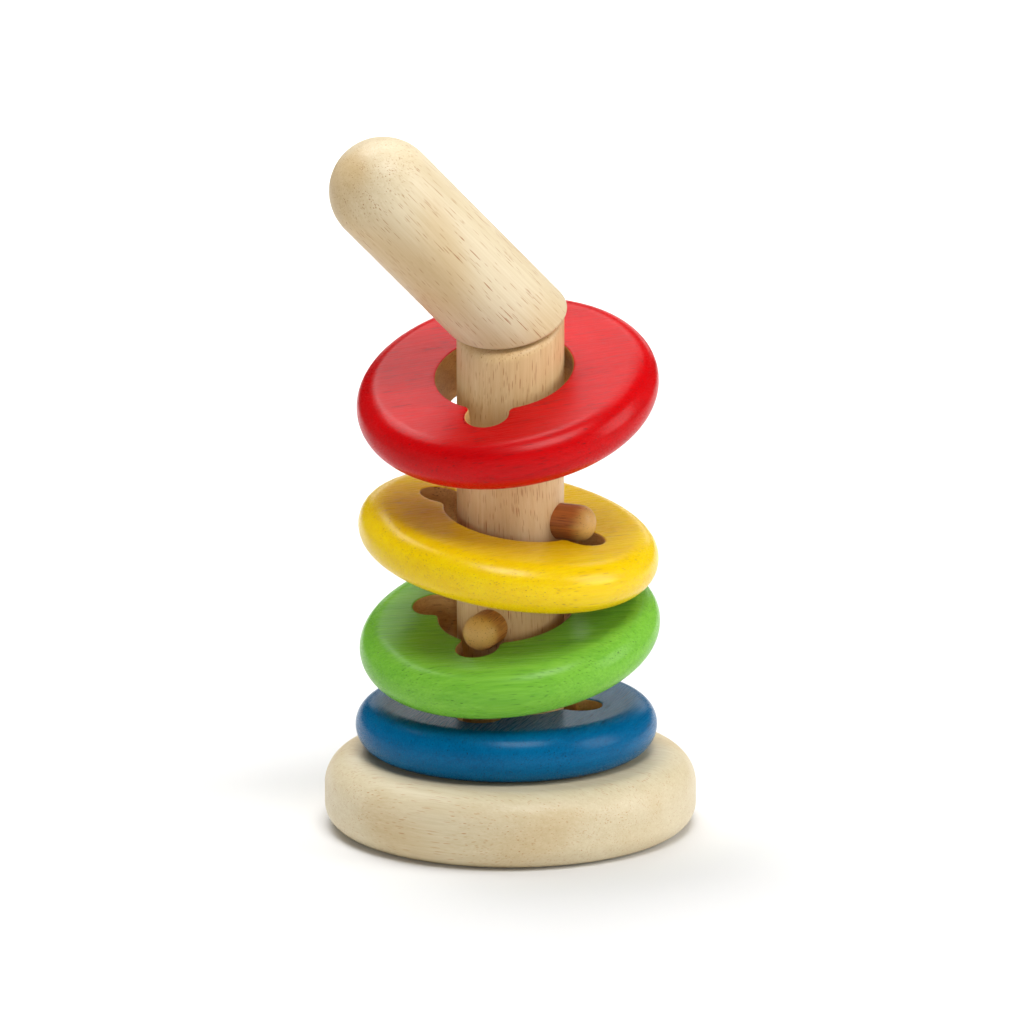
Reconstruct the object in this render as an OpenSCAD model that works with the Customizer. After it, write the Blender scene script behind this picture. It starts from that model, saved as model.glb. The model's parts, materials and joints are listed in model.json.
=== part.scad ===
// Wooden stacking ring toy: a round base, a post with three pegs, a swivelling
// top grip on a slanted joint, and four rings whose holes have lobes for the pegs.
// Millimetres. Z is up, the post stands on the Z axis, the base rests on Z = 0.

/* [Base] */
// Diameter of the base disc
base_d = 120; // [110:1:140]
// Thickness of the base disc
base_t = 24; // [22:0.5:30]
// Round-over of the base's top edge
base_top_r = 10.5; // [6:0.5:12]
// Round-over of the base's bottom edge
base_bottom_r = 7.5; // [4:0.5:8]

/* [Post and grip] */
// Diameter of the post and the grip
post_d = 34.4; // [32:0.1:35]
// Height at which the post's axis meets the grip's axis
bend_z = 166.7; // [162:0.1:190]
// Slant of the cut between post and grip
mitre = 29; // [20:1:32]
// Side towards which the slanted cut faces
mitre_side = -110; // [-120:1:-90]
// Turn of the grip on the slanted joint, away from its fully bent position
grip_turn = -76; // [-180:1:180]
// Length of the grip, from the bend to the centre of its dome
grip_l = 64.3; // [50:0.1:80]
// Diameter of the post's tenon in the base
tenon_d = 22; // [18:0.5:26]
// Length of the post's tenon
tenon_l = 12; // [10:0.5:13]

/* [Swivel] */
// Diameter of the swivel pin
pin_d = 8; // [6:0.5:9]
// Length of the swivel pin on each side of the joint
pin_l = 22; // [18:0.5:24]
// Diameter of the bush around the pin
bush_d = 12; // [11:0.5:14]
// Diameter of the bush's flange
flange_d = 22; // [18:0.5:26]
// Thickness of the bush's flange
flange_t = 0.7; // [0.6:0.1:1.2]
// Radial clearance between the pin and the bush
run_fit = 0.05; // [0.02:0.01:0.1]
// Gap between parts that slide or turn face to face
face_gap = 0.1; // [0.05:0.05:0.2]

/* [Pegs] */
// Diameter of a peg
peg_d = 11.8; // [10:0.1:12]
// Distance from the post's axis to the centre of a peg's domed end
peg_reach = 23.3; // [21:0.1:24]
// Depth of a peg in the post
peg_depth = 11; // [8:0.5:12]
// Height of the lower peg
peg_z = 68.9; // [68:0.1:71]
// Rise from one peg to the next
peg_rise = 32.8; // [31:0.1:33]
// Side of the lower peg
peg_side = -113; // [-114:0.5:-112]
// Quarter turn from one peg to the next
peg_step = 90; // [90]

/* [Rings] */
// Outer diameter of a ring
ring_d = 97.4; // [94:0.1:99]
// Thickness of a ring, fully rounded at its outer edge
ring_t = 16.8; // [15:0.1:17]
// Diameter of the round part of a ring's hole
hole_d = 44.4; // [44:0.1:46]
// Radius of a lobe of the hole
lobe_r = 6.9; // [6.7:0.1:7.5]
// Distance from the ring's centre to a lobe's centre
lobe_reach = 25.3; // [25:0.1:27]
// Round-over of the shoulders between the lobe and the hole
shoulder_r = 2.5; // [1:0.1:3]

/* [Screw] */
// Diameter of the screw's shank
screw_d = 4.4; // [3.5:0.1:5]
// Length of the screw below its head
screw_l = 32; // [25:1:40]
// Diameter of the screw's pan head
head_d = 8.6; // [8:0.1:10]
// Diameter of the counterbore, its washer and its plug
counterbore_d = 14; // [13:0.5:16]
// Depth of the counterbore
counterbore_l = 7; // [6.5:0.5:8]

/* [Hidden] */
$fn = 96;
eps = 0.01;
far = 200;

// Rings: centre, lean of the ring, side it leans to, angle of its first lobe, number of lobes
blue_at = [-1.3, 2, base_t + ring_t / 2 + face_gap];
green_at = [-0.2, 0, 63.1];
yellow_at = [-0.6, 1, 93.6];
red_at = [-0.9, 0.35, 142.3];
blue_lean = 0;
green_lean = 14.6;
yellow_lean = 10.6;
red_lean = 21.3;
blue_side = 0;
green_side = -118.9;
yellow_side = -36.5;
red_side = -110.7;
blue_lobe = -20;
green_lobe = -112.6;
yellow_lobe = -24.3;
red_lobe = -104;
blue_lobes = 4;
green_lobes = 3;
yellow_lobes = 2;
red_lobes = 1;
quarter = 90;

// Angle at the hole's centre, from a lobe to the round-over of its shoulder
shoulder_reach = hole_d / 2 + shoulder_r;
shoulder_angle = acos((shoulder_reach ^ 2 + lobe_reach ^ 2 - (lobe_r + shoulder_r) ^ 2)
    / (2 * shoulder_reach * lobe_reach));

seam = flange_t + face_gap;
groove_at = pin_l - 5;
groove_w = 1.6;
groove_r = pin_d / 2 - 0.6;
rib_w = groove_w - 2 * face_gap;
washer_t = 1;
washer_d = counterbore_d - 1.2;
head_t = 2.8;
plug_t = 2.6;
plug_inset = 0.3;

// Places a child in the mitre's frame: origin at the bend, Z along the swivel's axis
module on_mitre() {
    translate([0, 0, bend_z])
        rotate([0, mitre, mitre_side])
            children();
}

// Places a child along the grip's axis, which leaves the swivel's axis by the mitre angle
module on_grip() {
    on_mitre()
        rotate([0, 0, grip_turn])
            rotate([0, mitre, 0])
                children();
}

// Everything on the far side of the slanted cut, from height z of the mitre's frame
module above_mitre(z) {
    on_mitre()
        translate([-far / 2, -far / 2, z])
            cube(far);
}

// Places a child along a peg's axis: step 0 is the lower peg
module on_peg(step) {
    translate([0, 0, peg_z + step * peg_rise])
        rotate([0, 90, peg_side + step * peg_step])
            children();
}

module peg(step) {
    on_peg(step) {
        translate([0, 0, post_d / 2 - peg_depth])
            cylinder(d = peg_d, h = peg_reach - post_d / 2 + peg_depth);
        translate([0, 0, peg_reach])
            sphere(d = peg_d);
    }
}

module peg_hole(step) {
    on_peg(step)
        translate([0, 0, post_d / 2 - peg_depth])
            cylinder(d = peg_d, h = post_d);
}

// One lobe of the hole, with the round-overs of its two shoulders
module lobe_shape() {
    translate([lobe_reach, 0])
        circle(r = lobe_r);
    difference() {
        polygon([
            [0, 0],
            shoulder_reach * [cos(shoulder_angle), -sin(shoulder_angle)],
            [lobe_reach, 0],
            shoulder_reach * [cos(shoulder_angle), sin(shoulder_angle)]
        ]);
        for (side = [-1, 1])
            rotate(side * shoulder_angle)
                translate([shoulder_reach, 0])
                    circle(r = shoulder_r);
    }
}

module hole_shape(first, count, step) {
    circle(d = hole_d);
    for (i = [0 : count - 1])
        rotate(first + i * step)
            lobe_shape();
}

// A ring lying in its own frame, its middle plane on Z = 0
module ring(first, count, step) {
    difference() {
        rotate_extrude() {
            translate([0, -ring_t / 2])
                square([ring_d / 2 - ring_t / 2, ring_t]);
            translate([ring_d / 2 - ring_t / 2, 0])
                circle(d = ring_t);
        }
        translate([0, 0, -ring_t])
            linear_extrude(height = 2 * ring_t)
                hole_shape(first, count, step);
    }
}

// Sets a child down at a point, leaning towards a side without turning
module leaning(at, lean, side) {
    translate(at)
        rotate([0, 0, side])
            rotate([0, lean, 0])
                rotate([0, 0, -side])
                    children();
}

module base_disc() {
    color("wheat")
        difference() {
            rotate_extrude() {
                square([base_d / 2 - base_top_r, base_t]);
                square([base_d / 2 - base_bottom_r, base_t - base_top_r]);
                translate([0, base_bottom_r])
                    square([base_d / 2, base_t - base_top_r - base_bottom_r]);
                translate([base_d / 2 - base_top_r, base_t - base_top_r])
                    circle(r = base_top_r);
                translate([base_d / 2 - base_bottom_r, base_bottom_r])
                    circle(r = base_bottom_r);
            }
            translate([0, 0, base_t - tenon_l])
                cylinder(d = tenon_d, h = tenon_l + eps);
            translate([0, 0, -eps])
                cylinder(d = counterbore_d, h = counterbore_l + eps);
            cylinder(d = screw_d, h = base_t);
        }
}

module post() {
    color("burlywood")
        difference() {
            union() {
                translate([0, 0, base_t])
                    cylinder(d = post_d, h = bend_z + post_d - base_t);
                translate([0, 0, base_t - tenon_l])
                    cylinder(d = tenon_d, h = tenon_l + eps);
            }
            above_mitre(0);
            on_mitre()
                translate([0, 0, -pin_l])
                    cylinder(d = pin_d, h = pin_l + eps);
            for (step = [0 : 2])
                peg_hole(step);
            translate([0, 0, counterbore_l - washer_t])
                cylinder(d = screw_d, h = screw_l);
        }
}

module peg_lower() {
    color("sienna") peg(0);
}

module peg_middle() {
    color("sienna") peg(1);
}

module peg_upper() {
    color("sienna") peg(2);
}

module swivel_pin() {
    color("silver")
        on_mitre()
            difference() {
                translate([0, 0, -pin_l])
                    cylinder(d = pin_d, h = 2 * pin_l);
                translate([0, 0, groove_at - groove_w / 2])
                    difference() {
                        cylinder(d = pin_d + 1, h = groove_w);
                        translate([0, 0, -eps])
                            cylinder(r = groove_r, h = groove_w + 2 * eps);
                    }
            }
}

module swivel_bush() {
    color("ivory")
        on_mitre()
            difference() {
                union() {
                    translate([0, 0, face_gap])
                        cylinder(d = flange_d, h = flange_t);
                    translate([0, 0, face_gap])
                        cylinder(d = bush_d, h = pin_l);
                }
                cylinder(r = pin_d / 2 + run_fit, h = groove_at - rib_w / 2);
                cylinder(r = groove_r + run_fit, h = far);
                translate([0, 0, groove_at + rib_w / 2])
                    cylinder(r = pin_d / 2 + run_fit, h = far);
            }
}

module top_grip() {
    color("burlywood")
        difference() {
            intersection() {
                union() {
                    on_grip()
                        translate([0, 0, -post_d])
                            cylinder(d = post_d, h = grip_l + post_d);
                    on_grip()
                        translate([0, 0, grip_l])
                            sphere(d = post_d);
                }
                above_mitre(seam);
            }
            on_mitre()
                cylinder(d = bush_d, h = pin_l + face_gap + 1);
        }
}

module blue_ring() {
    color("royalblue")
        leaning(blue_at, blue_lean, blue_side) ring(blue_lobe, blue_lobes, quarter);
}

module green_ring() {
    color("limegreen")
        leaning(green_at, green_lean, green_side) ring(green_lobe, green_lobes, -quarter);
}

module yellow_ring() {
    color("gold")
        leaning(yellow_at, yellow_lean, yellow_side) ring(yellow_lobe, yellow_lobes, 2 * quarter);
}

module red_ring() {
    color("crimson")
        leaning(red_at, red_lean, red_side) ring(red_lobe, red_lobes, quarter);
}

module base_screw() {
    color("silver") {
        translate([0, 0, counterbore_l - washer_t - head_t])
            cylinder(d = head_d, h = head_t);
        translate([0, 0, counterbore_l - washer_t])
            cylinder(d = screw_d, h = screw_l);
    }
}

module screw_washer() {
    color("silver")
        translate([0, 0, counterbore_l - washer_t])
            difference() {
                cylinder(d = washer_d, h = washer_t);
                translate([0, 0, -eps])
                    cylinder(d = screw_d, h = washer_t + 2 * eps);
            }
}

module screw_plug() {
    color("tan")
        translate([0, 0, plug_inset])
            cylinder(d = counterbore_d, h = plug_t);
}

base_disc();
post();
peg_lower();
peg_middle();
peg_upper();
swivel_pin();
swivel_bush();
top_grip();
blue_ring();
green_ring();
yellow_ring();
red_ring();
base_screw();
screw_washer();
screw_plug();
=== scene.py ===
"""Looks of the wooden stacking ring toy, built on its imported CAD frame. Metres, Z up."""

import json
import math

import bpy
from mathutils import Matrix, Vector


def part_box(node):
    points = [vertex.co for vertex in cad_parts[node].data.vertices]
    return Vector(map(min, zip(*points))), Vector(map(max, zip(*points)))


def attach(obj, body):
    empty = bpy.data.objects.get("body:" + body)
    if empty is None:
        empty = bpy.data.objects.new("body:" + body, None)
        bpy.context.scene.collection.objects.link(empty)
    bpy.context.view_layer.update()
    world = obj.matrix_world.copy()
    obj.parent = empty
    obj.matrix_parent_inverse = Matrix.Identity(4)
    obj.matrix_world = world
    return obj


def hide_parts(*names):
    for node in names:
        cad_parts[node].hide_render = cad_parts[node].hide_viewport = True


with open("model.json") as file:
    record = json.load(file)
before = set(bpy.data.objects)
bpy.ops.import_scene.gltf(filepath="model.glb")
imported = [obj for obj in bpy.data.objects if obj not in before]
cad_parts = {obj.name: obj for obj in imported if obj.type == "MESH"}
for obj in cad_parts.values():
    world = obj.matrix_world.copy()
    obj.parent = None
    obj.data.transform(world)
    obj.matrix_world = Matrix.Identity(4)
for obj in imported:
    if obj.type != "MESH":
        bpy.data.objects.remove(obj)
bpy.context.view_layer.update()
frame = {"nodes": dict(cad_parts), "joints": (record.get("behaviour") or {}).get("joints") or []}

MM = 0.001

# ---------------------------------------------------------------- places, from the frame

JOINTS = {j["name"]: j for j in frame["joints"]}


def centre(node):
    low, high = (Vector(c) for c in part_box(node))
    return (low + high) / 2


def size(node):
    low, high = (Vector(c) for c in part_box(node))
    return high - low


BASE_RADIUS = size("base_disc").x / 2
BASE_TOP = size("base_disc").z
POST_RADIUS = size("post").x / 2
BEND = Vector(JOINTS["grip_swivel"]["pos_m"])
SWIVEL_AXIS = Vector(JOINTS["grip_swivel"]["axis"]).normalized()
GRIP_LOW, GRIP_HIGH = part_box("top_grip")
DOME = Vector((GRIP_LOW[0] + POST_RADIUS, GRIP_LOW[1] + POST_RADIUS, GRIP_HIGH[2] - POST_RADIUS))
GRIP_AXIS = (DOME - BEND).normalized()
GRIP_LENGTH = (DOME - BEND).length
PEG_RADIUS = size("peg_lower").z / 2
RING_THICKNESS = size("blue_ring").z
RING_RADIUS = size("blue_ring").x / 2

# Sizes that no box of the frame gives, as in the CAD source
BASE_TOP_ROUND, BASE_BOTTOM_ROUND = 10.5 * MM, 7.5 * MM
TENON_RADIUS, TENON_LENGTH = 11 * MM, 12 * MM
COUNTERBORE_RADIUS, COUNTERBORE_DEPTH = 7 * MM, 7 * MM
SCREW_RADIUS = 2.2 * MM
PIN_RADIUS, PIN_LENGTH = 4 * MM, 22 * MM
BUSH_RADIUS, SEAM = 6 * MM, 0.8 * MM
PEG_REACH, PEG_DEPTH = 23.3 * MM, 11 * MM
HOLE_RADIUS = 22.2 * MM
LOBE_RADIUS, LOBE_REACH, SHOULDER_RADIUS = 6.9 * MM, 25.3 * MM, 2.5 * MM

# Edge round-overs that the eye sees
POST_RIM, GRIP_RIM, HOLE_RIM = 2.0 * MM, 1.6 * MM, 0.7 * MM
COUNTERBORE_CHAMFER = 0.4 * MM
PEG_DOME_POWER = 2.25  # of the superellipse at a peg's end; 2 is a ball

# Ring: lean from level, side it leans to, angle of each lobe and direction of the grain in degrees,
# and gloss
RINGS = {
    "blue": dict(lean=0, side=0, lobes=(-20, 70, 160, 250), grain=72, gloss=0.09),
    "green": dict(lean=14.6, side=-118.9, lobes=(-112.6, 157.4, 67.4), grain=-6, gloss=0.13),
    "yellow": dict(lean=10.6, side=-36.5, lobes=(-24.3, 155.7), grain=38, gloss=0.24),
    "red": dict(lean=21.3, side=-110.7, lobes=(-104,), grain=4, gloss=0.12),
}
PEG_ANGLES = {"lower": -113, "middle": -23, "upper": 67}  # degrees round the pole

# How finely the meshes are cut
AROUND = 240  # points round a turned piece
BASE_BOTTOM_ROWS, BASE_TOP_ROWS = range(12, 52, 6), range(46, 12, -6)  # radii in mm
SHAFT_ROWS, SHAFT_STEP = 20, 6 * MM
GRIP_TENTHS = range(4, 10)  # of the grip's length, clear of its slanted end
PEG_DOME_STEPS, PEG_SHANK_STEPS = 24, 8
LOBE_STEPS, SHOULDER_STEPS, HOLE_STEPS_PER_RADIAN = 14, 6, 26
RING_FACE_SHARES = (0.08, 0.4, 0.75, 0.96)  # of the way from the hole to the rounded edge
RING_EDGE_STEPS, RING_WALL_STEPS = 36, 4


# ---------------------------------------------------------------- meshes


def piece(name, rows, cap_first=None, cap_last=None, closed=False, zones=None):
    """A mesh lofted through rows of points, each row a closed loop. A cap is the point its fan
    meets in, closed joins the last row to the first, and zones gives each band's material slot."""
    count = len(rows[0])
    points = [p for row in rows for p in row]
    faces, slots = [], []
    bands = len(rows) if closed else len(rows) - 1
    for band in range(bands):
        a, b = band * count, (band + 1) % len(rows) * count
        for i in range(count):
            j = (i + 1) % count
            faces.append((a + i, a + j, b + j, b + i))
            slots.append(zones[band] if zones else 0)
    for cap, start, flip in ((cap_first, 0, True), (cap_last, (len(rows) - 1) * count, False)):
        if cap is None:
            continue
        points.append(cap)
        for i in range(count):
            j = (i + 1) % count
            fan = (start + i, start + j, len(points) - 1)
            faces.append(fan[::-1] if flip else fan)
            slots.append(0)
    mesh = bpy.data.meshes.new(name)
    mesh.from_pydata([tuple(p) for p in points], [], faces)
    for polygon, slot in zip(mesh.polygons, slots):
        polygon.material_index = slot
        polygon.use_smooth = True
    mesh.validate()
    mesh.update()
    obj = bpy.data.objects.new(name, mesh)
    bpy.context.scene.collection.objects.link(obj)
    return obj


def arc(centre_r, centre_z, radius, start, end, steps):
    """Points (r, z) of an arc, angles in degrees from the +r direction."""
    return [
        (centre_r + radius * math.cos(a), centre_z + radius * math.sin(a))
        for a in (math.radians(start + (end - start) * k / steps) for k in range(steps + 1))
    ]


def turned(profile, place=Matrix.Identity(4)):
    """Rows of a turned piece, from its profile of (r, z) points."""
    turns = [2 * math.pi * i / AROUND for i in range(AROUND)]
    return [
        [place @ Vector((r * math.cos(t), r * math.sin(t), z)) for t in turns] for r, z in profile
    ]


def frame_along(axis, origin=Vector()):
    """A frame whose Z lies along axis."""
    turn = Vector((0, 0, 1)).rotation_difference(axis).to_matrix().to_4x4()
    return Matrix.Translation(origin) @ turn


def slanted_end(axis, radius, rim, gap, inward):
    """Rows of a round bar's end where the slanted cut crosses it, from its side inwards over the
    rim. gap is the face's distance from the cut, and inward is the bar's side of it, 1 or -1."""
    bar = frame_along(axis)
    turns = (2 * math.pi * i / AROUND for i in range(AROUND))
    across = [bar @ Vector((math.cos(t), math.sin(t), 0)) for t in turns]
    rows = []
    for x, y in arc(0, 0, rim, 0, 90, steps=8):
        r, height = radius - rim + x, gap + inward * (rim - y)
        rows.append([
            BEND + r * u + axis * ((height - r * u.dot(SWIVEL_AXIS)) / axis.dot(SWIVEL_AXIS))
            for u in across
        ])
    return rows


def bored(rows, radius, depth, gap):
    """Carries an end face's rows on into a blind bore along the swivel's axis. Also gives the
    middle of the bore's floor."""
    face = BEND + SWIVEL_AXIS * gap
    mouth = [face + (p - face).normalized() * radius for p in rows[-1]]
    return rows + [mouth, [p + SWIVEL_AXIS * depth for p in mouth]], face + SWIVEL_AXIS * depth


def make_base():
    bottom, top = BASE_BOTTOM_ROUND, BASE_TOP_ROUND
    profile = (
        [(COUNTERBORE_RADIUS, COUNTERBORE_CHAMFER), (COUNTERBORE_RADIUS + COUNTERBORE_CHAMFER, 0)]
        + [(r * MM, 0) for r in BASE_BOTTOM_ROWS]
        + arc(BASE_RADIUS - bottom, bottom, bottom, -90, 0, steps=14)
        + arc(BASE_RADIUS - top, BASE_TOP - top, top, 0, 90, steps=20)
        + [(r * MM, BASE_TOP) for r in BASE_TOP_ROWS]
        + [(TENON_RADIUS, BASE_TOP), (TENON_RADIUS, BASE_TOP - TENON_LENGTH)]
        + [(SCREW_RADIUS, BASE_TOP - TENON_LENGTH), (SCREW_RADIUS, COUNTERBORE_DEPTH)]
        + [(COUNTERBORE_RADIUS, COUNTERBORE_DEPTH)]
    )
    return piece("base", turned(profile), closed=True)


def make_post():
    upright, foot = Vector((0, 0, 1)), BASE_TOP - TENON_LENGTH
    end = slanted_end(upright, POST_RADIUS, POST_RIM, gap=0, inward=-1)
    end, bore_floor = bored(end, PIN_RADIUS, -PIN_LENGTH, gap=0)
    shaft = turned(
        [(TENON_RADIUS, foot), (TENON_RADIUS, BASE_TOP)]
        + [(POST_RADIUS, BASE_TOP + k * SHAFT_STEP) for k in range(SHAFT_ROWS)]
    )
    return piece("pole", shaft + end, cap_first=Vector((0, 0, foot)), cap_last=bore_floor)


def make_grip():
    end = slanted_end(GRIP_AXIS, POST_RADIUS, GRIP_RIM, gap=SEAM, inward=1)
    end, bore_floor = bored(end, BUSH_RADIUS, PIN_LENGTH, gap=SEAM)
    bar = frame_along(GRIP_AXIS, BEND)
    side = [(POST_RADIUS, GRIP_LENGTH * k / 10) for k in GRIP_TENTHS]
    dome = arc(0, GRIP_LENGTH, POST_RADIUS, 0, 90, steps=40)[:-1]
    crown = bar @ Vector((0, 0, GRIP_LENGTH + POST_RADIUS))
    return piece("grip", end[::-1] + turned(side + dome, bar), cap_first=bore_floor, cap_last=crown)


def make_peg(name):
    """A dowel peg whose end is a dome a little fuller than a ball. Also gives the peg's frame."""
    side = math.radians(PEG_ANGLES[name])
    axis = Vector((math.cos(side), math.sin(side), 0))
    place = frame_along(axis, Vector((0, 0, centre("peg_" + name).z)))
    inner = POST_RADIUS - PEG_DEPTH
    fullness = 2 / PEG_DOME_POWER
    dome = [
        (PEG_RADIUS * math.cos(a) ** fullness, PEG_REACH + PEG_RADIUS * math.sin(a) ** fullness)
        for a in (math.pi / 2 * k / PEG_DOME_STEPS for k in range(PEG_DOME_STEPS))
    ]
    shank = [
        (PEG_RADIUS, inner + (PEG_REACH - inner) * k / PEG_SHANK_STEPS)
        for k in range(PEG_SHANK_STEPS)
    ]
    tip = place @ Vector((0, 0, PEG_REACH + PEG_RADIUS))
    foot = place @ Vector((0, 0, inner))
    return piece("peg_" + name + "_dowel", turned(shank + dome, place), foot, tip), place


def hole_outline(lobes, grow):
    """Outline of a ring's hole, grown by grow all round: the round part, and lobes whose shoulders
    are rounded."""
    hole, lobe, shoulder = HOLE_RADIUS + grow, LOBE_RADIUS + grow, SHOULDER_RADIUS - grow
    reach = HOLE_RADIUS + SHOULDER_RADIUS
    across = LOBE_RADIUS + SHOULDER_RADIUS
    turn = math.acos((reach**2 + LOBE_REACH**2 - across**2) / (2 * reach * LOBE_REACH))
    corner = Vector((reach * math.cos(turn), reach * math.sin(turn)))
    away = math.atan2(corner.y, corner.x - LOBE_REACH)
    half = [
        Vector((LOBE_REACH + lobe * math.cos(a), lobe * math.sin(a)))
        for a in (away * k / LOBE_STEPS for k in range(LOBE_STEPS + 1))
    ]
    back, front = math.pi + turn, away + math.pi
    half += [
        corner + shoulder * Vector((math.cos(a), math.sin(a)))
        for a in (front + (back - front) * k / SHOULDER_STEPS for k in range(1, SHOULDER_STEPS + 1))
    ]
    bump = [Vector((p.x, -p.y)) for p in half[:0:-1]] + half
    arms = sorted(math.radians(a) for a in lobes)
    outline = []
    for n, arm in enumerate(arms):
        outline += [Matrix.Rotation(arm, 2) @ p for p in bump]
        start = arm + turn
        stop = arms[(n + 1) % len(arms)] + (2 * math.pi if n + 1 == len(arms) else 0) - turn
        steps = max(2, round((stop - start) * HOLE_STEPS_PER_RADIAN))
        outline += [
            hole * Vector((math.cos(a), math.sin(a)))
            for a in (start + (stop - start) * k / steps for k in range(1, steps))
        ]
    return outline


def ring_frame(colour):
    lean, side = math.radians(RINGS[colour]["lean"]), math.radians(RINGS[colour]["side"])
    turn = Matrix.Rotation(side, 4, "Z") @ Matrix.Rotation(lean, 4, "Y")
    return Matrix.Translation(centre(colour + "_ring")) @ (turn @ Matrix.Rotation(-side, 4, "Z"))


def make_ring(colour):
    """A flat ring with a fully rounded outer edge. Slot 0 is the stained wood, and slot 1 the bare
    wall of the hole."""
    half = RING_THICKNESS / 2
    rim = arc(0, 0, HOLE_RIM, 0, 90, steps=4)
    inner = [hole_outline(RINGS[colour]["lobes"], HOLE_RIM - x) for x, _ in rim]
    heights = [half - HOLE_RIM + y for _, y in rim]
    count, edge_radius = len(inner[0]), RING_RADIUS - half
    first = math.atan2(inner[0][0].y, inner[0][0].x)
    even = [first + 2 * math.pi * i / count for i in range(count)]
    outer = [edge_radius * Vector((math.cos(a), math.sin(a))) for a in even]

    def level(flat, z):
        return [Vector((p.x, p.y, z)) for p in flat]

    top = [level(p, z) for p, z in zip(inner, heights)]
    for share in RING_FACE_SHARES:
        top.append(level([a.lerp(b, share) for a, b in zip(inner[-1], outer)], half))
    edge = [
        [Vector((r * math.cos(a), r * math.sin(a), z)) for a in even]
        for r, z in arc(edge_radius, 0, half, 90, -90, RING_EDGE_STEPS)
    ]
    under = [[Vector((p.x, p.y, -p.z)) for p in row] for row in reversed(top)]
    rows = top + edge + under
    stain_first, stain_last = 2, len(rows) - 4  # half of each rim is bare, with the wall
    for k in range(1, RING_WALL_STEPS):
        rows.append(level(inner[0], -heights[0] + 2 * heights[0] * k / RING_WALL_STEPS))
    zones = [0 if stain_first <= band <= stain_last else 1 for band in range(len(rows))]
    place = ring_frame(colour)
    rows = [[place @ p for p in row[::-1]] for row in rows]
    return piece(colour + "_stained_ring", rows, closed=True, zones=zones)


# ---------------------------------------------------------------- materials


def srgb(*bytes3):
    """Linear colour of an sRGB one, given as 0 to 255."""
    linear = [c / 255 / 12.92 if c <= 10 else ((c / 255 + 0.055) / 1.055) ** 2.4 for c in bytes3]
    return (*linear, 1)


class Nodes:
    """Short spellings for building a material's node tree."""

    def __init__(self, name):
        self.material = bpy.data.materials.new(name)
        self.material.use_nodes = True
        self.tree = self.material.node_tree
        self.shader = self.tree.nodes["Principled BSDF"]

    def set(self, socket, value):
        if isinstance(value, bpy.types.NodeSocket):
            self.tree.links.new(value, socket)
        else:
            socket.default_value = value

    def add(self, kind, inputs, out=0, **options):
        node = self.tree.nodes.new(kind)
        for key, value in options.items():
            setattr(node, key, value)
        for key, value in inputs.items():
            self.set(node.inputs[key], value)
        return node.outputs[out]

    def position(self):
        """The point on the object, in the object's own metres."""
        return self.add("ShaderNodeTexCoord", {}, out=3)

    def math(self, operation, a, b=0.0):
        return self.add("ShaderNodeMath", {0: a, 1: b}, operation=operation)

    def scaled(self, vector, factors):
        return self.add("ShaderNodeVectorMath", {0: vector, 1: factors}, operation="MULTIPLY")

    def moved(self, vector, shift):
        return self.add("ShaderNodeVectorMath", {0: vector, 1: shift}, operation="ADD")

    def noise(self, vector, detail, rough=0.5):
        return self.add(
            "ShaderNodeTexNoise",
            {"Vector": vector, "Scale": 1.0, "Detail": detail, "Roughness": rough},
        )

    def span(self, value, low, high, to_low=0.0, to_high=1.0):
        """value from low to high, eased onto to_low to to_high."""
        limits = {"From Min": low, "From Max": high, "To Min": to_low, "To Max": to_high}
        return self.add(
            "ShaderNodeMapRange", {"Value": value, **limits}, interpolation_type="SMOOTHSTEP"
        )

    def mix(self, factor, a, b, blend="MIX"):
        return self.add(
            "ShaderNodeMix", {0: factor, 6: a, 7: b}, out=2, data_type="RGBA", blend_type=blend
        )

    def bump(self, height, strength, distance):
        inputs = {"Strength": strength, "Distance": distance, "Height": height}
        return self.add("ShaderNodeBump", inputs)

    def finish(self, **values):
        for name, value in values.items():
            self.set(self.shader.inputs[name.replace("_", " ")], value)
        return self.material


def grain_frame(place, direction):
    """The frame of a board's grain, its Z along the fibres. direction is in degrees, in the plane
    of place."""
    turn = Matrix.Rotation(math.radians(direction), 4, "Z")
    return place @ turn @ Matrix.Rotation(math.pi / 2, 4, "Y")


# Wood. Scales are features per mm: twice across the grain, then along it.
SEED_SHIFT = (17.3, 9.1, 31.7)  # mm through the pattern for each step of the seed
BEND_SCALE, BEND_DETAIL, BEND_MM = (0.03, 0.03, 0.014), 1.0, (5.0, 7.0, 0.0)
TONES = {  # scale, detail, roughness, share of the tone
    "growth": ((0.1, 0.06, 0.007), 2.0, 0.5, 0.24),
    "bands": ((0.6, 0.4, 0.01), 2.0, 0.6, 0.24),
    "lines": ((1.6, 1.6, 0.022), 2.0, 0.6, 0.34),
    "fibres": ((4.0, 4.0, 0.1), 3.0, 0.65, 0.18),
}
TONE_MIDDLE, TONE_REACH = 0.5, 0.17
# Pores: mm from one to the next, length and radius in mm, place in the pattern, strength
BOLD_PORES = (0.75, 20.0, 0.145, (0, 0, 0))
FAINT_PORES, FAINT_STRENGTH = (0.55, 9.0, 0.14, (41, 13, 7)), 0.5
PORE_WOBBLE_SCALE = (0.5, 0.5, 0.35)
CROWD_SCALE, CROWD_SPAN, FEWEST_PORES = (0.13, 0.13, 0.02), (0.38, 0.64), 0.12
CLOUD_SCALE, CLOUD_SPAN, CLOUD_TINT = (0.035, 0.035, 0.02), (0.42, 0.68), (0.84, 0.69, 0.47, 1)
TIP_WOBBLE_MM, TIP_STRENGTH = 6.0, 0.85
GLOSS_SPREAD, PORE_DULLING = 0.05, 0.2
FIBRE_RELIEF, RELIEF_STRENGTH, RELIEF_DEPTH = 0.16, 0.3, 0.06 * MM
COAT_ROUGHNESS = 0.25


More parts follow.
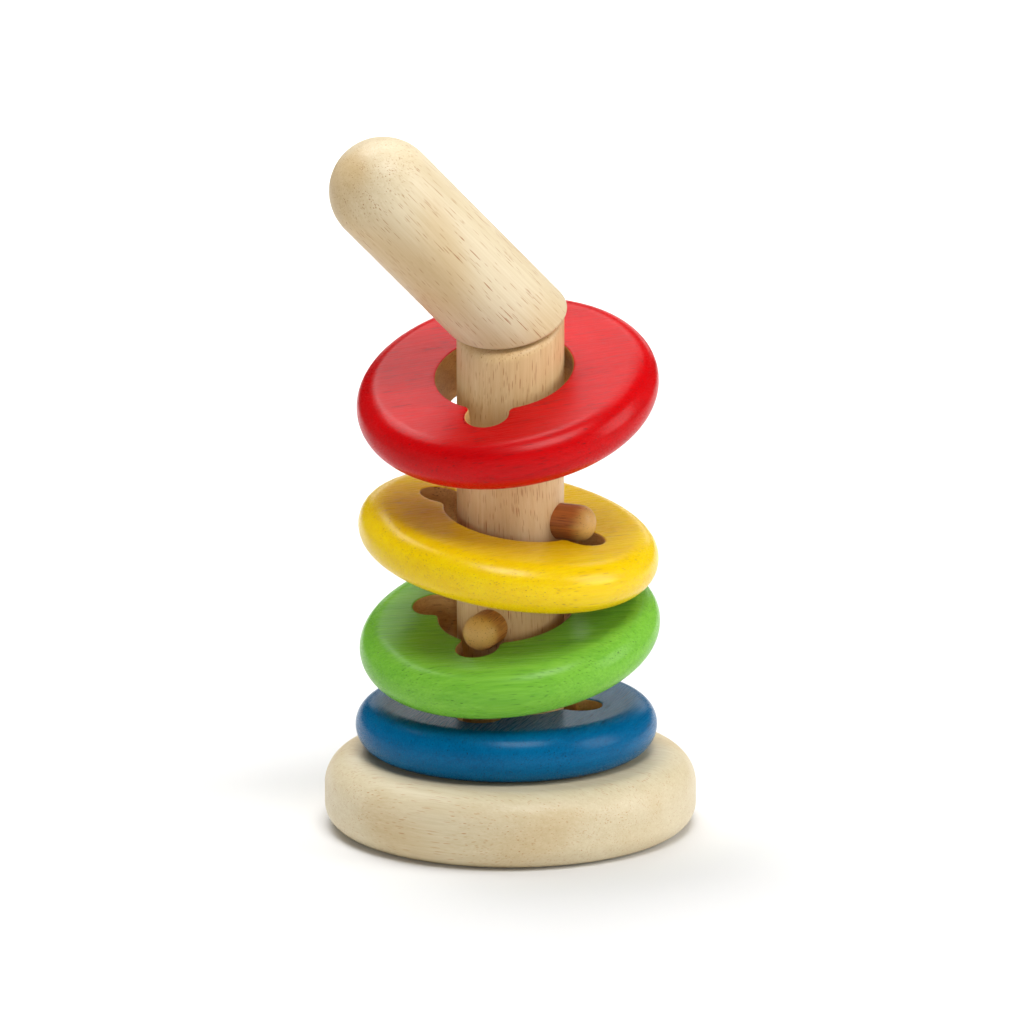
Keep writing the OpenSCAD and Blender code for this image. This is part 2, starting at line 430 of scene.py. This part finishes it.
def wood(name, place, light, dark, pore, seed, pores=1.0, figure=1.0, roughness=0.42, coat=0.1,
         gloss_level=0.25, warmth=0.0, coarse=1.0, tip=None):
    """Lacquered plantation wood: soft growth figure, fine fibres, and pores that show as dashes
    along the grain and as dots across it.

    place is the grain's frame. Colours run from light to dark, and figure is how strongly. pore is
    the pores' colour, pores how dark they get and coarse how large they are. warmth is how much
    deeper the colour gets in the board's warmer clouds. tip gives a pale end: where it starts along
    the grain and where it is full, in mm, and its colour.
    """
    n = Nodes(name)
    location, rotation, _ = place.decompose()
    position = n.add(
        "ShaderNodeMapping",
        {"Vector": n.position(), "Location": location, "Rotation": rotation.to_euler()},
        vector_type="TEXTURE",
    )
    local = n.scaled(position, (1 / MM, 1 / MM, 1 / MM))
    mm = n.moved(local, [seed * shift for shift in SEED_SHIFT])
    bend = n.noise(n.scaled(mm, BEND_SCALE), BEND_DETAIL)
    sideways = n.add("ShaderNodeCombineXYZ", {"X": bend, "Y": bend})
    bent = n.moved(mm, n.scaled(sideways, BEND_MM))

    layers, tone = {}, None
    for layer, (scale, detail, rough, share) in TONES.items():
        layers[layer] = n.noise(n.scaled(bent, scale), detail, rough)
        part = n.math("MULTIPLY", layers[layer], share)
        tone = part if tone is None else n.math("ADD", tone, part)
    reach = TONE_REACH / figure
    colour = n.mix(n.span(tone, TONE_MIDDLE - reach, TONE_MIDDLE + reach), light, dark)

    if tip:
        starts, full, pale = tip
        along = n.add("ShaderNodeSeparateXYZ", {0: local}, out=2)
        wobble = n.math("MULTIPLY", n.math("SUBTRACT", layers["bands"], 0.5), TIP_WOBBLE_MM)
        worn = n.span(n.math("ADD", along, wobble), starts, full)
        colour = n.mix(n.math("MULTIPLY", worn, TIP_STRENGTH), colour, pale)

    def pore_layer(apart, length, radius, shift):
        cell = (1 / (apart * coarse), 1 / (apart * coarse), 1 / (length * coarse))
        cells = n.scaled(n.moved(bent, shift), cell)
        wobble = n.noise(n.scaled(mm, PORE_WOBBLE_SCALE), detail=1.0)
        near = n.add("ShaderNodeTexVoronoi", {"Vector": cells, "Scale": 1.0, "Randomness": 1.0})
        edge = n.math("MULTIPLY", wobble, radius / apart * 2)
        return n.span(n.math("DIVIDE", near, edge), 1.0, 0.5)

    crowd = n.span(n.noise(n.scaled(mm, CROWD_SCALE), detail=2.0), *CROWD_SPAN, FEWEST_PORES, 1.0)
    bold = n.math("MULTIPLY", pore_layer(*BOLD_PORES), crowd)
    faint = n.math("MULTIPLY", pore_layer(*FAINT_PORES), FAINT_STRENGTH)
    marks = n.math("MULTIPLY", n.math("MAXIMUM", bold, faint), pores)
    colour = n.mix(n.math("MINIMUM", marks, 1.0), colour, pore)
    if warmth:
        cloud = n.span(n.noise(n.scaled(mm, CLOUD_SCALE), detail=1.0), *CLOUD_SPAN)
        colour = n.mix(n.math("MULTIPLY", cloud, warmth), colour, CLOUD_TINT, blend="MULTIPLY")

    fibres = layers["fibres"]
    gloss = n.span(fibres, 0.3, 0.7, roughness - GLOSS_SPREAD, roughness + GLOSS_SPREAD)
    relief = n.math("SUBTRACT", n.math("MULTIPLY", fibres, FIBRE_RELIEF), marks)
    return n.finish(
        Base_Color=colour,
        Roughness=n.math("ADD", gloss, n.math("MULTIPLY", marks, PORE_DULLING)),
        Normal=n.bump(relief, RELIEF_STRENGTH, RELIEF_DEPTH),
        Coat_Weight=coat,
        Coat_Roughness=COAT_ROUGHNESS,
        Specular_IOR_Level=gloss_level,
    )


def steel(name):
    """Drawn steel, its brush marks along Z."""
    n = Nodes(name)
    mm = n.scaled(n.position(), (1 / MM, 1 / MM, 1 / MM))
    brushed = n.noise(n.scaled(mm, (3, 3, 0.2)), detail=3.0)
    return n.finish(
        Base_Color=n.mix(brushed, srgb(170, 172, 176), srgb(205, 206, 210)),
        Roughness=n.span(brushed, 0.3, 0.7, 0.28, 0.42),
        Metallic=1.0,
    )


def nylon(name):
    n = Nodes(name)
    mm = n.scaled(n.position(), (1 / MM, 1 / MM, 1 / MM))
    grain = n.noise(n.scaled(mm, (2, 2, 2)), detail=4.0)
    return n.finish(
        Base_Color=n.mix(grain, srgb(52, 44, 36), srgb(66, 57, 46)),
        Roughness=n.span(grain, 0.3, 0.7, 0.5, 0.62),
        Normal=n.bump(grain, 0.2, 0.05 * MM),
    )


# Light wood, dark wood and pores
BASE_TONES = srgb(221, 209, 180), srgb(201, 184, 146), srgb(176, 112, 58)
BROWN = srgb(150, 82, 30)
POST_TONES = srgb(224, 198, 152), srgb(196, 158, 108), BROWN
GRIP_TONES = srgb(222, 209, 179), srgb(201, 181, 143), BROWN
PLUG_TONES = srgb(214, 190, 148), srgb(201, 181, 143), BROWN
BARE_TONES = srgb(214, 172, 112), srgb(184, 136, 78), srgb(110, 66, 28)
# The lower peg's paler, yellower colours are painted light: bounce light from the green ring,
# painted into that peg's wood. The other two pegs keep the plain russet peg colours.
BOUNCE_LIT_PEG = srgb(205, 142, 62), srgb(158, 98, 38), srgb(78, 42, 18)
RUSSET_PEG = srgb(188, 118, 58), srgb(140, 78, 34), srgb(78, 42, 18)
PEG_TONES = {"lower": BOUNCE_LIT_PEG, "middle": RUSSET_PEG, "upper": RUSSET_PEG}
PEG_TIP = (22, 28, srgb(210, 168, 94))
STAINS = {
    "blue": (srgb(0, 101, 148), srgb(0, 79, 123), srgb(0, 27, 53)),
    "green": (srgb(130, 191, 66), srgb(99, 165, 48), srgb(41, 88, 20)),
    "yellow": (srgb(235, 206, 8), srgb(223, 181, 4), srgb(149, 93, 8)),
    "red": (srgb(203, 8, 13), srgb(176, 4, 9), srgb(98, 2, 4)),
}


def dress(obj, body, slot, replaced, *materials):
    """Gives a new mesh its materials and body, and hides the CAD node it stands in for. The slot
    argument is not used.
    """
    for material in materials:
        obj.data.materials.append(material)
    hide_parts(replaced)
    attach(obj, body)


def dress_cad(node, material):
    """Gives a CAD node that stays as it is its material."""
    obj = frame["nodes"][node]
    obj.data.materials.clear()
    obj.data.materials.append(material)


def build_object():
    flat = Matrix.Identity(4)
    dress(
        make_base(), "stand", "base_wood", "base_disc",
        wood("base_wood", grain_frame(flat, -27), *BASE_TONES, seed=1,
             pores=0.7, figure=0.65, warmth=0.45, coarse=1.3),
    )
    dress(
        make_post(), "stand", "post_wood", "post",
        wood("post_wood", flat, *POST_TONES, seed=2, pores=1.2, figure=0.55, warmth=0.3),
    )
    dress(
        make_grip(), "grip", "grip_wood", "top_grip",
        wood("grip_wood", frame_along(GRIP_AXIS, BEND), *GRIP_TONES, seed=15,
             figure=0.6, warmth=0.65),
    )
    for n, name in enumerate(PEG_ANGLES):
        obj, place = make_peg(name)
        dress(
            obj, "stand", "peg_wood", "peg_" + name,
            wood("peg_wood_" + name, place, *PEG_TONES[name], seed=4 + n, figure=1.3, tip=PEG_TIP),
        )
    for n, (colour, facts) in enumerate(RINGS.items()):
        board = grain_frame(ring_frame(colour), facts["grain"])
        dress(
            make_ring(colour), "ring_" + colour, colour + "_stain", colour + "_ring",
            wood(colour + "_stain", board, *STAINS[colour], seed=7 + n, pores=0.8, figure=0.9,
                 roughness=0.27, coat=0.04, gloss_level=facts["gloss"], coarse=1.4),
            wood(colour + "_bare", board, *BARE_TONES, seed=7 + n, roughness=0.6, coat=0.0),
        )
    for node in ("swivel_pin", "base_screw", "screw_washer"):
        dress_cad(node, steel(node + "_steel"))
    dress_cad("swivel_bush", nylon("bush_nylon"))
    dress_cad("screw_plug", wood("plug_wood", flat, *PLUG_TONES, seed=12))


# ---------------------------------------------------------------- floor, light, camera

FLOOR_HALF = 4.0
FLOOR_GREY = (0.8, 0.8, 0.8, 1)

TOY = (0, 0, 0.12)  # what most lights aim at
# Softbox: place, aim, width, height, watts, spread in degrees
SOFTBOXES = {
    "key": ((0.2, -0.6, 1.4), TOY, 0.6, 0.6, 12, 180),
    "overhead_left": ((-0.45, 0.4, 1.3), TOY, 0.7, 0.7, 8.5, 180),
    "back": ((-0.15, 1.0, 1.45), TOY, 0.9, 0.6, 1.2, 180),
    "strip": ((0.1, 1.5, 0.42), TOY, 1.2, 0.3, 1.6, 180),
    "side": ((1.5, -0.3, 0.8), TOY, 0.8, 1.0, 12.8, 180),
    "wash": ((0, 0.9, 2.3), (0, 0.5, 0), 1.6, 1.0, 11, 180),
    "backdrop": ((0, 1.6, 1.3), (0, 1.6, 0), 1.6, 1.2, 22, 110),
}
# The world: a pale band at the horizon that fades out higher up, by the height of the direction
BAND_HEIGHTS = 0.22, 0.38
BAND_STRENGTHS = 1.44, 0.03

CAMERA_DISTANCE = 2.5
CAMERA_ELEVATION = math.radians(13.66)
CAMERA_AIM = Vector((-0.13 * MM, 0, 103.7 * MM))
SEEN_WIDTH = 327.05 * MM  # that the picture takes in at the pole


def add_floor():
    mesh = bpy.data.meshes.new("floor")
    far = FLOOR_HALF
    corners = [(-far, -far, 0), (far, -far, 0), (far, far, 0), (-far, far, 0)]
    mesh.from_pydata(corners, [], [(0, 1, 2, 3)])
    floor = bpy.data.objects.new("floor", mesh)
    bpy.context.scene.collection.objects.link(floor)
    paper = Nodes("floor_paper")
    mesh.materials.append(
        paper.finish(Base_Color=FLOOR_GREY, Roughness=0.8, Specular_IOR_Level=0.2)
    )


def softbox(name, place, aim, width, height, power, spread):
    light = bpy.data.lights.new(name, "AREA")
    light.shape, light.size, light.size_y = "RECTANGLE", width, height
    light.energy, light.spread = power, math.radians(spread)
    obj = bpy.data.objects.new(name, light)
    obj.location = place
    obj.rotation_euler = (Vector(aim) - Vector(place)).to_track_quat("-Z", "Y").to_euler()
    bpy.context.scene.collection.objects.link(obj)


def add_lights():
    """A key over the camera, more softboxes above, behind and to the right, and a pale band all
    round."""
    for name, facts in SOFTBOXES.items():
        softbox(name, *facts)
    world = bpy.data.worlds.new("studio")
    bpy.context.scene.world = world
    world.use_nodes = True
    tree = world.node_tree
    background = tree.nodes["Background"]
    direction = tree.nodes.new("ShaderNodeTexCoord")
    height = tree.nodes.new("ShaderNodeSeparateXYZ")
    fade = tree.nodes.new("ShaderNodeMapRange")
    limits = zip(("From Min", "From Max", "To Min", "To Max"), BAND_HEIGHTS + BAND_STRENGTHS)
    for socket, value in limits:
        fade.inputs[socket].default_value = value
    tree.links.new(direction.outputs["Generated"], height.inputs[0])
    tree.links.new(height.outputs["Z"], fade.inputs["Value"])
    tree.links.new(fade.outputs[0], background.inputs["Strength"])
    background.inputs["Color"].default_value = (1, 1, 1, 1)
    world.cycles_visibility.glossy = False  # the lacquer mirrors the softboxes only


def plain_colours():
    """Whites stay white and stains stay saturated, as in a catalogue picture."""
    bpy.context.scene.view_settings.view_transform = "Standard"


def add_camera():
    """The photograph's view: along +Y, from a little above, with a long lens."""
    data = bpy.data.cameras.new("camera")
    data.lens = data.sensor_width * CAMERA_DISTANCE / SEEN_WIDTH
    camera = bpy.data.objects.new("camera", data)
    back = Vector((0, -math.cos(CAMERA_ELEVATION), math.sin(CAMERA_ELEVATION)))
    camera.location = CAMERA_AIM + CAMERA_DISTANCE * back
    camera.rotation_euler = (math.pi / 2 - CAMERA_ELEVATION, 0, 0)
    bpy.context.scene.collection.objects.link(camera)
    bpy.context.scene.camera = camera


build_object()
add_floor()
add_lights()
plain_colours()
add_camera()

bpy.context.view_layer.update()
